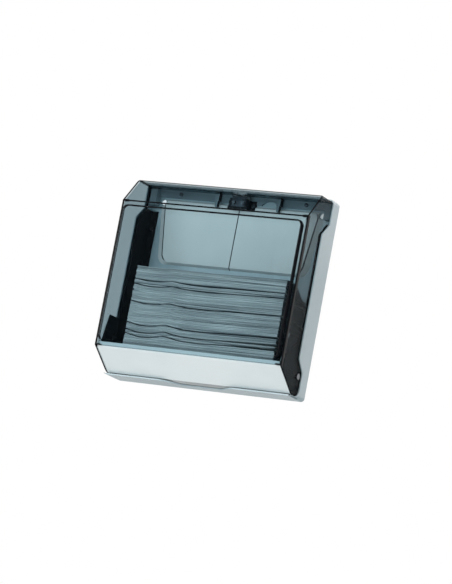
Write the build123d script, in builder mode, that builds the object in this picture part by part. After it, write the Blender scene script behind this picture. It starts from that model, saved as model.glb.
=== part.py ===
from build123d import *
import math
import os

os.makedirs("parts", exist_ok=True)

# Wall-mounted dispenser for folded paper towels.
# Frame: X to the right, Y into the wall, Z up. The wall is the plane Y = 0 and
# the origin is the centre of the four wall-screw holes. "Depth" below is the
# distance in front of the wall, and heights are measured down from the top.

# Housing
housing_width = 298.0
housing_height = 287.0
housing_wall = 1.6
back_thickness = 2.5
bottom_thickness = 2.0
top_wall_depth = 20.5
side_wall_depth = 39.0
bottom_depth = 45.0
notch_top = 36.0
notch_bottom = 54.0
relief_top_rise = 54.0
relief_bottom_rise = 37.0
relief_depth = 21.0
relief_corner_radius = 12.0
relief_blend_radius = 6.0
top_corner_radius = 6.0
bottom_corner_radius = 5.0

# Wall-screw holes
wall_hole_diameter = 8.0
wall_hole_from_side = 22.0
wall_hole_from_top = 21.0
wall_head_room = 12.0

# Dispensing notch in the bottom plate
notch_half_width = 55.0
notch_floor_half_width = 30.0
notch_depth_left = 22.0
notch_blend_radius = 10.0

# Cover
cover_depth = 94.0
cover_thickness = 2.3
cover_side_gap = 0.3
cover_top_gap = 1.2
cover_lap = 6.0
cover_rear_depth = 16.0
bevel_depth = 6.0
bevel_width = 6.2
roof_chamfer_run = 34.5
roof_chamfer_bottom = 41.0
window_top = 49.0
window_bottom_rise = 41.0
cover_bottom_rise = 34.0
window_corner_radius = 8.0
roof_edge_radius = 3.0
base_corner_radius = 2.0

# Hinge
pivot_depth = 31.0
pivot_rise = 30.0
ear_radius = 27.0
ear_slot_rear = 13.5
pin_diameter = 5.0
pin_head_rim = 2.0
pin_head_thickness = 1.2
pin_edge_radius = 0.4
pin_tip_length = 1.0
bush_wall = 1.5
running_gap = 0.05
face_gap = 0.3
boss_wall = 4.5
boss_length = 3.5
clip_thickness = 0.7
clip_rim = 2.5
clip_groove_depth = 0.5
clip_grip = 0.2

# Side brackets
bracket_thickness = 1.5
bracket_gap = 0.4
bracket_flange_thickness = 1.6
bracket_flange_width = 11.9
bracket_edge_setback = 1.0
bracket_floor_gap = 1.0
arm_top_rise = 83.0
arm_front_setback = 12.0
arm_front_rise = 47.0
bracket_screw_from_top = 62.0
bracket_screw_rise = 93.0
bracket_screw_inset = 5.5

# Apron
apron_gap = 1.5
apron_lip_rise = 40.0
apron_foot_gap = 2.0
apron_inset = 0.8
apron_thickness = 2.0
apron_bend_radius = 2.5
cheek_thickness = 1.6
cheek_rear_room = 10.0
cheek_top_rise = 82.0
cheek_top_setback = 16.0
apron_rear_screw = (9.0, 53.0)
apron_front_screw = (18.2, 39.0)

# Rear panel
panel_top = 16.0
panel_bottom = 112.0
panel_height_off_back = 4.5
panel_wall = 2.0
panel_side_gap = 1.5
panel_taper = 12.0
panel_flank = 9.0
panel_end_flank = 3.0
panel_top_radius = 6.0
panel_bottom_radius = 14.0
panel_groove_width = 1.6
panel_groove_depth = 1.0
panel_groove_x = -2.0
panel_peg_diameter = 5.0
panel_peg_x = 80.0
panel_peg_drops = (40.0, 90.0)

# Top rail
rail_top = 2.0
rail_edge = 14.0
rail_block_width = 10.4
rail_block_bottom = 28.0
rail_block_depth = 15.0
rail_thickness = 2.4
rail_rib_depth = 14.0
rail_rib_bottom = 23.0
rail_rib_width = 6.0
rail_rib_tip = 3.2
rail_rib_places = (-37.5, 60.5)
rail_arch_left = 30.0
rail_arch_top = 7.0
rail_screw_inset = 32.5
rail_screw_drop = 8.0

# Latch
latch_half_width = 14.0
latch_body_top = 9.2
latch_body_bottom = 24.0
latch_body_depth = 18.8
latch_ear_width = 8.0
latch_ear_thickness = 3.0
button_travel = 3.0
button_half_width = 10.6
button_finger_inner = 5.4
button_web_rear = 7.0
button_web_front = 10.0
button_finger_setback = 0.4
button_top_drop = 0.4
button_web_bottom = 16.0
button_floor_gap = 1.0
button_edge_radius = 0.5
spring_thickness = 0.4
spring_leg_bottom = 21.0
spring_bend_radius = 1.2
spring_rear_room = 3.0
spring_gap = 0.2
nose_width = 4.0
nose_setback = 1.4
nose_length = 2.2
nose_rise = 2.6
slide_gap = 0.2
tongue_half_width = 14.0
tongue_rear_room = 1.0
latch_screw_x = 7.0
latch_screw_drop = 15.5

# Screws: head diameter, head height, shank diameter
screw_head = 5.6
screw_head_height = 1.7
screw_shank = 2.9
screw_fit = 0.05
screw_bite = 1.9
screw_point_gap = 1.0
slot_width = 0.9
slot_depth = 0.7

# Towels
towel_end_room = 60.0
towel_shift = 10.5
stack_rear_gap = 1.0
stack_front_gap = 1.7
stack_floor_gap = 0.4
stack_rises = (156.0, 136.2, 129.0, 104.2, 73.0, 63.2, 57.2)
bundle_gap = 0.3
stack_rear_drop = 17.0
stack_step_rear = 22.0
stack_step_front = 48.0
lead_front_room = 21.0
lead_thickness = 1.4

# Cuts run this far past the face they leave through
cut_margin = 1.0

# Derived sizes
half_width = housing_width / 2
half_height = housing_height / 2
inner_half = half_width - housing_wall
cover_half = inner_half - cover_side_gap
cover_inner_half = cover_half - cover_thickness
relief_top = housing_height - relief_top_rise
relief_bottom = housing_height - relief_bottom_rise
floor_drop = housing_height - bottom_thickness

cover_top = housing_wall + cover_top_gap
side_front_depth = cover_depth - bevel_depth
roof_flat_depth = side_front_depth - roof_chamfer_run
window_bottom = housing_height - window_bottom_rise
cover_bottom = housing_height - cover_bottom_rise

pivot_from_top = housing_height - pivot_rise
pin_hole = pin_diameter + 2 * running_gap
bush_diameter = pin_diameter + 2 * bush_wall
clip_groove_diameter = pin_diameter - 2 * clip_groove_depth
clip_diameter = clip_groove_diameter + 2 * clip_rim

bracket_outer = cover_inner_half - bracket_gap
bracket_inner = bracket_outer - bracket_thickness
bracket_flange_inner = bracket_outer - bracket_flange_width
bracket_screw_x = bracket_flange_inner + bracket_screw_inset
bracket_screw_low = housing_height - bracket_screw_rise
bracket_screw_drops = (
    bracket_screw_from_top,
    (bracket_screw_from_top + bracket_screw_low) / 2,
    bracket_screw_low,
)
arm_top = housing_height - arm_top_rise
arm_front_depth = side_front_depth - arm_front_setback
arm_front_top = housing_height - arm_front_rise

apron_front_depth = side_front_depth - cover_thickness - apron_gap
apron_lip_top = housing_height - apron_lip_rise
cheek_inner = bracket_inner - cheek_thickness
cheek_rear_depth = pivot_depth + cheek_rear_room
cheek_top = housing_height - cheek_top_rise
cheek_top_depth = side_front_depth - cheek_top_setback
apron_screw_places = (
    (cheek_rear_depth + apron_rear_screw[0], housing_height - apron_rear_screw[1]),
    (apron_front_depth - apron_front_screw[0], housing_height - apron_front_screw[1]),
)

panel_face_depth = back_thickness + panel_height_off_back
panel_top_half_width = bracket_flange_inner - panel_side_gap
panel_bottom_half_width = panel_top_half_width - panel_taper
rail_screw_x = bracket_flange_inner - rail_screw_inset

button_finger_front = latch_body_depth - button_finger_setback
spring_rear_depth = button_web_front + spring_rear_room
nose_front = latch_body_depth - nose_setback
nose_rear = nose_front - nose_length
tongue_rear_depth = button_web_front + tongue_rear_room

towel_length = housing_width - towel_end_room
stack_front_depth = apron_front_depth - apron_thickness - stack_front_gap
stack_tops = [housing_height - rise for rise in stack_rises]
lead_front_depth = cheek_rear_depth + lead_front_room


def up(drop):
    """Height of a point that lies `drop` below the top of the housing."""
    return half_height - drop


def at(depth, drop):
    """Side-view point: depth in front of the wall, drop below the top."""
    return (depth, up(drop))


def front(depth):
    """Plane facing the room, `depth` in front of the wall."""
    return Plane.XZ.offset(depth)


def side(x):
    """Side-view plane at `x`, with depth along its own x axis."""
    return Plane(origin=(x, 0, 0), x_dir=(0, -1, 0), z_dir=(-1, 0, 0))


def level(drop):
    """Level plane, seen from above, with X to the right and Y into the wall."""
    return Plane.XY.offset(up(drop))


def near(shapes, *points):
    """The shapes whose centre lies closest to each point."""
    return [min(shapes, key=lambda s: (s.center() - Vector(*p)).length) for p in points]


def finish(builder, label):
    """Label a finished piece and write it to its own file."""
    builder.part.label = label
    export_step(builder.part, f"parts/{label}.step")
    print(f"{label}: {builder.part.volume / 1000:.2f} cm3, {len(builder.part.solids())} solid(s)")


def housing_edge():
    """Side view of the housing: how far its walls come forward at each height."""
    return [
        at(0, 0),
        at(top_wall_depth, 0),
        at(top_wall_depth, notch_top),
        at(side_wall_depth, notch_bottom),
        at(side_wall_depth, relief_top),
        at(relief_depth, relief_bottom),
        at(relief_depth, floor_drop),
        at(bottom_depth, floor_drop),
        at(bottom_depth, housing_height),
        at(0, housing_height),
    ]


def wall_holes():
    """Spacing of the wall-screw holes along X and Z."""
    return (
        housing_width - 2 * wall_hole_from_side,
        housing_height - 2 * wall_hole_from_top,
    )


def screw_spots():
    """Front-view spots of the screws that enter the back plate."""
    spots = [(s * bracket_screw_x, up(d)) for s in (-1, 1) for d in bracket_screw_drops]
    spots += [(s * rail_screw_x, up(rail_screw_drop)) for s in (-1, 1)]
    spots += [(s * latch_ear_x(), up(latch_ear_drop())) for s in (-1, 1)]
    return spots


def latch_ear_x():
    """X of the screws in the ears of the latch body."""
    return latch_half_width + latch_ear_width / 2


def latch_ear_drop():
    """Height of the screws in the ears of the latch body."""
    return (latch_body_top + latch_body_bottom) / 2


def panel_pegs():
    """Front-view spots of the pegs behind the rear panel."""
    return [(s * panel_peg_x, up(d)) for s in (-1, 1) for d in panel_peg_drops]


def ear_tangent():
    """Side-view point where the slanted cover edge meets the round of its ear."""
    run = side_front_depth - pivot_depth
    rise = pivot_from_top - cover_bottom
    reach = math.hypot(run, rise)
    angle = math.atan2(rise, run) - math.acos(ear_radius / reach)
    return (
        pivot_depth + ear_radius * math.cos(angle),
        up(pivot_from_top) + ear_radius * math.sin(angle),
    )


# Back housing: back plate, four walls and the bottom plate with its notch
with BuildPart() as back_housing:
    with BuildSketch(front(0)) as outline:
        Rectangle(housing_width, housing_height)
        fillet(outline.vertices().group_by(Axis.Y)[-1], top_corner_radius)
        fillet(outline.vertices().group_by(Axis.Y)[0], bottom_corner_radius)
    extrude(amount=bottom_depth)
    with BuildSketch(front(back_thickness)) as hollow:
        with Locations((0, (bottom_thickness - housing_wall) / 2)):
            Rectangle(2 * inner_half, housing_height - housing_wall - bottom_thickness)
        fillet(hollow.vertices().group_by(Axis.Y)[-1], top_corner_radius - housing_wall)
        fillet(hollow.vertices().group_by(Axis.Y)[0], bottom_corner_radius - housing_wall)
    extrude(amount=bottom_depth, mode=Mode.SUBTRACT)
    with BuildSketch(side(0)) as edge_view:
        with BuildLine():
            Polyline(*housing_edge(), close=True)
        make_face()
        blend_points = [at(side_wall_depth, relief_top), at(relief_depth, relief_bottom)]
        fillet(near(edge_view.vertices(), *blend_points), relief_blend_radius)
        fillet(near(edge_view.vertices(), at(relief_depth, floor_drop)), relief_corner_radius)
    extrude(amount=half_width, both=True, mode=Mode.INTERSECT)
    # dispensing notch, with blends at its corners
    with BuildSketch(level(housing_height)) as notch:
        with BuildLine():
            Polyline(
                (-notch_half_width, -bottom_depth),
                (-notch_floor_half_width, -notch_depth_left),
                (notch_floor_half_width, -notch_depth_left),
                (notch_half_width, -bottom_depth),
                (notch_half_width, -bottom_depth - notch_depth_left),
                (-notch_half_width, -bottom_depth - notch_depth_left),
                close=True,
            )
        make_face()
        floor_ends = [(s * notch_floor_half_width, -notch_depth_left) for s in (-1, 1)]
        fillet(near(notch.vertices(), *floor_ends), notch_blend_radius)
    extrude(amount=bottom_thickness, mode=Mode.SUBTRACT)
    lips = near(
        back_housing.edges().filter_by(Axis.Z),
        (-notch_half_width, -bottom_depth, up(floor_drop + bottom_thickness / 2)),
        (notch_half_width, -bottom_depth, up(floor_drop + bottom_thickness / 2)),
    )
    fillet(lips, notch_blend_radius)
    # slots through which the ears of the cover swing
    slot_rear = pivot_depth - ear_slot_rear
    slot_middle = (bracket_outer + inner_half) / 2
    with BuildSketch(level(housing_height)):
        with Locations(*[(s * slot_middle, -(slot_rear + bottom_depth) / 2) for s in (-1, 1)]):
            Rectangle(inner_half - bracket_outer, bottom_depth - slot_rear + cut_margin)
    extrude(amount=bottom_thickness + bottom_corner_radius, mode=Mode.SUBTRACT)
    # opening in the top wall for the latch button
    with BuildSketch(level(0)):
        with Locations((0, -(top_wall_depth + button_web_rear - slide_gap) / 2)):
            Rectangle(
                2 * (button_half_width + slide_gap),
                top_wall_depth - button_web_rear + slide_gap,
            )
    extrude(amount=-housing_wall, mode=Mode.SUBTRACT)
    with BuildSketch(front(0)):
        with GridLocations(*wall_holes(), 2, 2):
            Circle(wall_hole_diameter / 2)
        with Locations(*panel_pegs()):
            Circle(panel_peg_diameter / 2 + running_gap)
        with Locations(*screw_spots()):
            Circle(screw_shank / 2 + screw_fit)
    extrude(amount=back_thickness, mode=Mode.SUBTRACT)
finish(back_housing, "back_housing")


# Rear panel: raised plate with sloping flanks and a centre groove
def panel_outline(inset):
    """Front-view corners of the rear panel, drawn in by `inset` at the sides."""
    end_inset = inset * panel_end_flank / panel_flank
    return [
        (-panel_top_half_width + inset, up(panel_top + end_inset)),
        (panel_top_half_width - inset, up(panel_top + end_inset)),
        (panel_bottom_half_width - inset, up(panel_bottom - end_inset)),
        (-panel_bottom_half_width + inset, up(panel_bottom - end_inset)),
    ]


def panel_ring(depth, inset):
    """Front-view outline of the rear panel at a depth, with round corners."""
    with BuildSketch(front(depth)) as ring:
        with BuildLine():
            Polyline(*panel_outline(inset), close=True)
        make_face()
        fillet(ring.vertices().group_by(Axis.Y)[-1], panel_top_radius)
        fillet(ring.vertices().group_by(Axis.Y)[0], panel_bottom_radius)
    return ring.sketch


with BuildPart() as rear_panel:
    loft(sections=[panel_ring(back_thickness, 0), panel_ring(panel_face_depth, panel_flank)], ruled=True)
    rim = panel_wall * panel_flank / panel_height_off_back
    inner_face = panel_face_depth - panel_wall
    loft(
        sections=[panel_ring(back_thickness, rim), panel_ring(inner_face, panel_flank)],
        ruled=True,
        mode=Mode.SUBTRACT,
    )
    latch_room = latch_half_width + latch_ear_width + face_gap
    with BuildSketch(front(back_thickness)):
        with Locations((0, up((panel_top + latch_body_bottom + face_gap) / 2))):
            Rectangle(2 * latch_room, latch_body_bottom + face_gap - panel_top)
    extrude(amount=panel_height_off_back, mode=Mode.SUBTRACT)
    with BuildSketch(front(back_thickness)):
        with GridLocations(*wall_holes(), 2, 2):
            Circle(wall_head_room / 2)
    extrude(amount=panel_height_off_back, mode=Mode.SUBTRACT)
    with BuildSketch(front(panel_face_depth)):
        with Locations((panel_groove_x, up((panel_top + panel_bottom) / 2))):
            Rectangle(panel_groove_width, panel_bottom - panel_top)
    extrude(amount=-panel_groove_depth, mode=Mode.SUBTRACT)
    with BuildSketch(front(inner_face)):
        with Locations(*panel_pegs()):
            Circle(panel_peg_diameter / 2)
    extrude(amount=-(inner_face - running_gap))
finish(rear_panel, "rear_panel")

# Top rail: dark cross member with hanging ribs and an end block at each side
with BuildPart() as top_rail:
    with BuildSketch(front(back_thickness)):
        for sign in (-1, 1):
            gap = latch_half_width + latch_ear_width + face_gap
            with Locations((sign * (gap + bracket_outer) / 2, up((rail_top + rail_edge) / 2))):
                Rectangle(bracket_outer - gap, rail_edge - rail_top)
        bridge_bottom = latch_body_top - face_gap
        with Locations((0, up((rail_top + bridge_bottom) / 2))):
            Rectangle(2 * gap, bridge_bottom - rail_top)
        arch_right = rail_rib_places[1] - rail_rib_width / 2
        arch_foot = up(rail_edge + cut_margin)
        with BuildLine():
            ThreePointArc(
                (rail_arch_left, arch_foot),
                ((rail_arch_left + arch_right) / 2, up(rail_arch_top)),
                (arch_right, arch_foot),
            )
            Line((arch_right, arch_foot), (rail_arch_left, arch_foot))
        make_face(mode=Mode.SUBTRACT)
    extrude(amount=rail_thickness)
    with BuildSketch(front(back_thickness)):
        with Locations(*[(place, up((rail_top + rail_edge) / 2)) for place in rail_rib_places]):
            Rectangle(rail_rib_width, rail_edge - rail_top)
    extrude(amount=rail_rib_depth - back_thickness)
    with BuildSketch(front(back_thickness)):
        block_middle = bracket_outer - rail_block_width / 2
        block_height = up((rail_top + rail_block_bottom) / 2)
        with Locations((-block_middle, block_height), (block_middle, block_height)):
            Rectangle(rail_block_width, rail_block_bottom - rail_top)
    extrude(amount=rail_block_depth - back_thickness)
    for place in rail_rib_places:
        with BuildSketch(front(panel_face_depth + face_gap)):
            with BuildLine():
                Polyline(
                    (place - rail_rib_width / 2, up(rail_top)),
                    (place + rail_rib_width / 2, up(rail_top)),
                    (place + rail_rib_tip / 2, up(rail_rib_bottom)),
                    (place - rail_rib_tip / 2, up(rail_rib_bottom)),
                    close=True,
                )
            make_face()
        extrude(amount=rail_rib_depth - panel_face_depth - face_gap)
    with BuildSketch(front(back_thickness)):
        with Locations(*[(s * rail_screw_x, up(rail_screw_drop)) for s in (-1, 1)]):
            Circle(screw_shank / 2 + screw_fit)
    extrude(amount=rail_thickness, mode=Mode.SUBTRACT)
finish(top_rail, "top_rail")


# Side brackets: dark liners that carry the hinge pins and the apron
def slant_slope():
    """Fall of the slanted lower front for each step towards the wall."""
    foot_depth, foot_height = ear_tangent()
    return (up(cover_bottom) - foot_height) / (side_front_depth - foot_depth)


def slant_drop(depth, inset):
    """Height of the slanted lower front at a depth, moved in square to the slant."""
    slope = slant_slope()
    return cover_bottom + (side_front_depth - depth) * slope - inset * math.hypot(1, slope)


def slant_depth(drop, inset):
    """Depth of the slanted lower front at a height, moved in square to the slant."""
    slope = slant_slope()
    return side_front_depth - (drop - cover_bottom + inset * math.hypot(1, slope)) / slope


def apron_foot():
    """Depth of the apron's lower edge, just above the bottom plate."""
    return slant_depth(floor_drop - apron_foot_gap, apron_inset)


def apron_outer_drop(depth):
    """Height of the outer face of the slanted apron at a depth."""
    return slant_drop(depth, apron_inset)


def apron_inner_drop(depth):
    """Height of the inner face of the slanted apron at a depth."""
    return slant_drop(depth, apron_inset + apron_thickness)


def bracket_side_view():
    """Side view of the leg of a bracket that lies along the housing wall."""
    foot = housing_height - bottom_thickness - bracket_floor_gap
    top_depth = top_wall_depth - bracket_edge_setback
    wall_depth = side_wall_depth - bracket_edge_setback
    arm_low = apron_front_depth - apron_thickness - face_gap
    return [
        at(back_thickness, notch_top),
        at(top_depth, notch_top),
        at(wall_depth, notch_bottom + bracket_edge_setback),
        at(wall_depth, arm_top),
        at(arm_front_depth, arm_front_top),
        at(arm_low, arm_front_top + arm_low - arm_front_depth),
        at(arm_low, apron_inner_drop(arm_low) - face_gap),
        at(apron_foot(), apron_inner_drop(apron_foot()) - face_gap),
        at(pivot_depth, foot),
        at(back_thickness, foot),
    ]


def make_bracket(sign, label):
    """One side bracket; sign is -1 for the left and 1 for the right."""
    foot = housing_height - bottom_thickness - bracket_floor_gap
    with BuildPart() as bracket:
        with BuildSketch(side(sign * (bracket_outer + bracket_inner) / 2)):
            with BuildLine():
                Polyline(*bracket_side_view(), close=True)
            make_face()
        extrude(amount=bracket_thickness / 2, both=True)
        with BuildSketch(front(back_thickness)):
            middle = sign * (bracket_flange_inner + bracket_outer) / 2
            with Locations((middle, up((notch_top + foot) / 2))):
                Rectangle(bracket_outer - bracket_flange_inner, foot - notch_top)
        extrude(amount=bracket_flange_thickness)
        boss_middle = sign * (bracket_inner - boss_length / 2)
        with BuildSketch(side(boss_middle)):
            with Locations(at(pivot_depth, pivot_from_top)):
                Circle(pin_diameter / 2 + boss_wall)
        extrude(amount=boss_length / 2, both=True)
        with BuildSketch(side(sign * bracket_inner)):
            with Locations(at(pivot_depth, pivot_from_top)):
                Circle(pin_hole / 2)
            with Locations(*[at(*p) for p in apron_screw_places]):
                Circle(screw_shank / 2 + screw_fit)
        extrude(amount=boss_length + bracket_thickness, both=True, mode=Mode.SUBTRACT)
        with BuildSketch(front(back_thickness)):
            with Locations(*[(sign * bracket_screw_x, up(d)) for d in bracket_screw_drops]):
                Circle(screw_shank / 2 + screw_fit)
        extrude(amount=bracket_flange_thickness, mode=Mode.SUBTRACT)
    finish(bracket, label)


make_bracket(-1, "side_bracket_left")
make_bracket(1, "side_bracket_right")


# Cover: smoked box with a flat roof, a bevelled window and two hinge ears
def cover_side_view():
    """Side view of the cover down to the tangent of its ear, front side first."""
    rear_drop = up(0) - (up(pivot_from_top) - math.sqrt(ear_radius**2 - (pivot_depth - ear_rear()) ** 2))
    return [
        at(cover_rear_depth, cover_top),
        at(roof_flat_depth, cover_top),
        at(side_front_depth, roof_chamfer_bottom),
        at(side_front_depth, cover_bottom),
        ear_tangent(),
    ], [
        at(ear_rear(), rear_drop),
        at(ear_rear(), relief_bottom - cover_lap),
        at(side_wall_depth - cover_lap, relief_top - cover_lap),
        at(side_wall_depth - cover_lap, notch_bottom + cover_lap),
        at(cover_rear_depth, notch_top + cover_lap),
        at(cover_rear_depth, cover_top),
    ]


def ear_rear():
    """Depth of the rear edge of the cover's ears."""
    return relief_depth - cover_lap


def roof_leans():
    """How far the cover's inner corners shift at the two bends of its roof."""
    turn = math.atan2(roof_chamfer_bottom - cover_top, roof_chamfer_run)
    return (
        cover_thickness * math.tan(turn / 2),
        cover_thickness * math.tan((math.pi / 2 - turn) / 2),
    )


def window_ring(depth, half, top, bottom, radius):
    """Rounded window outline at a depth, one end of the bevelled front."""
    with BuildSketch(front(depth)) as ring:
        with Locations((0, up((top + bottom) / 2))):
            Rectangle(2 * half, bottom - top)
        fillet(ring.vertices(), radius)
    return ring.sketch


def bevelled_front(inset):
    """The two outlines of the bevelled front, drawn in by `inset` on every side."""
    base = window_ring(
        side_front_depth - inset,
        cover_half - inset,
        roof_chamfer_bottom + inset,
        cover_bottom - inset,
        base_corner_radius,
    )
    face = window_ring(
        cover_depth - inset,
        cover_half - bevel_width - inset,
        window_top + inset,
        window_bottom - inset,
        window_corner_radius - inset,
    )
    return [base, face]


with BuildPart() as smoke_cover:
    front_points, rear_points = cover_side_view()
    with BuildSketch(side(0)):
        with BuildLine():
            Polyline(*front_points)
            bottom_of_ear = (pivot_depth, up(pivot_from_top) - ear_radius)
            ThreePointArc(front_points[-1], bottom_of_ear, rear_points[0])
            Polyline(*rear_points)
        make_face()
    extrude(amount=cover_half, both=True)
    roof_edges = smoke_cover.edges().filter_by(Axis.Y).group_by(Axis.Z)[-1]
    fillet(roof_edges, roof_edge_radius)
    loft(sections=bevelled_front(0), ruled=True)
    # everything between the side walls, open at the back and along the slant
    inner_roof = cover_top + cover_thickness
    upper_lean, lower_lean = roof_leans()
    with BuildSketch(side(0)):
        with BuildLine():
            Polyline(
                at(0, inner_roof),
                at(roof_flat_depth - upper_lean, inner_roof),
                at(side_front_depth - cover_thickness, roof_chamfer_bottom + lower_lean),
                at(side_front_depth - cover_thickness, cover_bottom),
                at(side_front_depth + cover_lap, cover_bottom),
                at(side_front_depth + cover_lap, housing_height + cover_lap),
                at(0, housing_height + cover_lap),
                close=True,
            )
        make_face()
    extrude(amount=cover_inner_half, both=True, mode=Mode.SUBTRACT)
    loft(sections=bevelled_front(cover_thickness), ruled=True, mode=Mode.SUBTRACT)
    # catch tongue at the middle of the roof's rear edge
    with BuildSketch(level(cover_top)):
        middle = -(tongue_rear_depth + cover_rear_depth) / 2
        with Locations((0, middle)):
            Rectangle(2 * tongue_half_width, cover_rear_depth - tongue_rear_depth)
    extrude(amount=-cover_thickness)
    with BuildSketch(level(cover_top)):
        for sign in (-1, 1):
            finger_middle = (button_finger_inner + button_half_width) / 2
            finger_width = button_half_width - button_finger_inner + 2 * slide_gap
            notch_front = button_finger_front + slide_gap
            with Locations((sign * finger_middle, -(tongue_rear_depth + notch_front) / 2)):
                Rectangle(finger_width, notch_front - tongue_rear_depth)
        with Locations((0, -(nose_rear + nose_front) / 2)):
            Rectangle(nose_width + 2 * slide_gap, nose_front - nose_rear + 2 * slide_gap)
    extrude(amount=-cover_thickness, mode=Mode.SUBTRACT)
    with BuildSketch(side(0)):
        with Locations(at(pivot_depth, pivot_from_top)):
            Circle(bush_diameter / 2 + running_gap)
    extrude(amount=half_width, both=True, mode=Mode.SUBTRACT)
finish(smoke_cover, "smoke_cover")


# Hinge pins, bushes and clips
def make_hinge(sign, name):
    """Pin, bush and clip of one hinge; sign is -1 for the left."""
    pin_end = bracket_inner - boss_length - clip_thickness - 2 * running_gap - pin_tip_length
    head_start = cover_half + face_gap / 2
    axis_point = at(pivot_depth, pivot_from_top)
    with BuildPart() as pin:
        with BuildSketch(side(sign * pin_end)):
            with Locations(axis_point):
                Circle(pin_diameter / 2)
        extrude(amount=-sign * (head_start - pin_end))
        with BuildSketch(side(sign * head_start)):
            with Locations(axis_point):
                Circle(pin_diameter / 2 + pin_head_rim)
        extrude(amount=-sign * pin_head_thickness)
        groove_start = pin_end + pin_tip_length
        with BuildSketch(side(sign * groove_start)):
            with Locations(axis_point):
                Circle(pin_diameter / 2 + cut_margin)
                Circle(clip_groove_diameter / 2, mode=Mode.SUBTRACT)
        extrude(amount=-sign * (clip_thickness + running_gap), mode=Mode.SUBTRACT)
        rim = pin.faces().sort_by(Axis.X)[0 if sign < 0 else -1].edges()
        fillet(rim, pin_edge_radius)
    finish(pin, f"hinge_pin_{name}")
    with BuildPart() as bush:
        with BuildSketch(side(sign * cover_inner_half)):
            with Locations(axis_point):
                Circle(bush_diameter / 2)
                Circle(pin_hole / 2, mode=Mode.SUBTRACT)
        extrude(amount=-sign * cover_thickness)
    finish(bush, f"hinge_bush_{name}")
    with BuildPart() as clip:
        with BuildSketch(side(sign * groove_start)):
            with Locations(axis_point):
                Circle(clip_diameter / 2)
                Circle(clip_groove_diameter / 2 + running_gap, mode=Mode.SUBTRACT)
            with Locations(at(pivot_depth - clip_diameter / 4, pivot_from_top)):
                mouth = clip_groove_diameter - 2 * clip_grip
                Rectangle(clip_diameter / 2 + cut_margin, mouth, mode=Mode.SUBTRACT)
        extrude(amount=-sign * clip_thickness)
    finish(clip, f"hinge_clip_{name}")


make_hinge(-1, "left")
make_hinge(1, "right")

# Apron: slanted front panel with an upright lip and two cheeks
with BuildPart() as front_apron:
    lip_rear = apron_front_depth - apron_thickness
    with BuildSketch(side(0)) as apron_view:
        with BuildLine():
            Polyline(
                at(apron_front_depth, apron_lip_top),
                at(apron_front_depth, apron_outer_drop(apron_front_depth)),
                at(apron_foot(), apron_outer_drop(apron_foot())),
                at(apron_foot(), apron_inner_drop(apron_foot())),
                at(lip_rear, apron_inner_drop(lip_rear)),
                at(lip_rear, apron_lip_top),
                close=True,
            )
        make_face()
        bend = at(apron_front_depth, apron_outer_drop(apron_front_depth))
        fillet(near(apron_view.vertices(), bend), apron_bend_radius)
    extrude(amount=bracket_outer, both=True)
    for sign in (-1, 1):
        with BuildSketch(side(sign * (cheek_inner + bracket_inner) / 2)):
            with BuildLine():
                Polyline(
                    at(cheek_rear_depth, cheek_top),
                    at(cheek_top_depth, cheek_top),
                    at(lip_rear, apron_lip_top - apron_thickness),
                    at(lip_rear, apron_inner_drop(lip_rear)),
                    at(cheek_rear_depth, apron_inner_drop(cheek_rear_depth)),
                    close=True,
                )
            make_face()
        extrude(amount=cheek_thickness / 2, both=True)
    with BuildSketch(side(0)):
        with Locations(*[at(*p) for p in apron_screw_places]):
            Circle(screw_shank / 2 + screw_fit)
    extrude(amount=half_width, both=True, mode=Mode.SUBTRACT)
finish(front_apron, "front_apron")

# Latch body: block with a guide slot for the button
with BuildPart() as latch_body:
    with BuildSketch(level(latch_body_bottom)):
        with Locations((0, -(back_thickness + latch_body_depth) / 2)):
            Rectangle(2 * latch_half_width, latch_body_depth - back_thickness)
        with Locations((0, -back_thickness - latch_ear_thickness / 2)):
            Rectangle(2 * (latch_half_width + latch_ear_width), latch_ear_thickness)
    extrude(amount=latch_body_bottom - latch_body_top)
    with BuildSketch(level(latch_body_top)):
        with Locations((0, -(button_web_rear + button_web_front) / 2)):
            Rectangle(
                2 * (button_half_width + slide_gap),
                button_web_front - button_web_rear + 2 * slide_gap,
            )
    web_floor = button_web_bottom + button_travel + button_floor_gap
    extrude(amount=-(web_floor - latch_body_top), mode=Mode.SUBTRACT)
    with BuildSketch(front(back_thickness)):
        with Locations(*[(s * latch_ear_x(), up(latch_ear_drop())) for s in (-1, 1)]):
            Circle(screw_shank / 2 + screw_fit)
    extrude(amount=latch_ear_thickness, mode=Mode.SUBTRACT)
    with BuildSketch(front(latch_body_depth)):
        with Locations(*[(s * latch_screw_x, up(latch_screw_drop)) for s in (-1, 1)]):
            Circle(screw_shank / 2 + screw_fit)
    extrude(amount=-screw_bite - screw_point_gap, mode=Mode.SUBTRACT)
finish(latch_body, "latch_body")

# Latch button: two fingers on a guide web, pressed down from the top
finger_bottom = cover_top + cover_thickness + spring_gap
with BuildPart() as latch_button:
    with BuildSketch(level(button_top_drop)):
        with Locations((0, -(button_web_rear + button_web_front) / 2)):
            Rectangle(2 * button_half_width, button_web_front - button_web_rear)
    extrude(amount=-(button_web_bottom - button_top_drop))
    with BuildSketch(level(button_top_drop)):
        for sign in (-1, 1):
            finger_middle = (button_finger_inner + button_half_width) / 2
            with Locations((sign * finger_middle, -(button_web_front + button_finger_front) / 2)):
                Rectangle(
                    button_half_width - button_finger_inner,
                    button_finger_front - button_web_front,
                )
    extrude(amount=-(finger_bottom - button_top_drop))
    fillet(latch_button.edges().group_by(Axis.Z)[-1].filter_by(Axis.X), button_edge_radius)
finish(latch_button, "latch_button")

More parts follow.
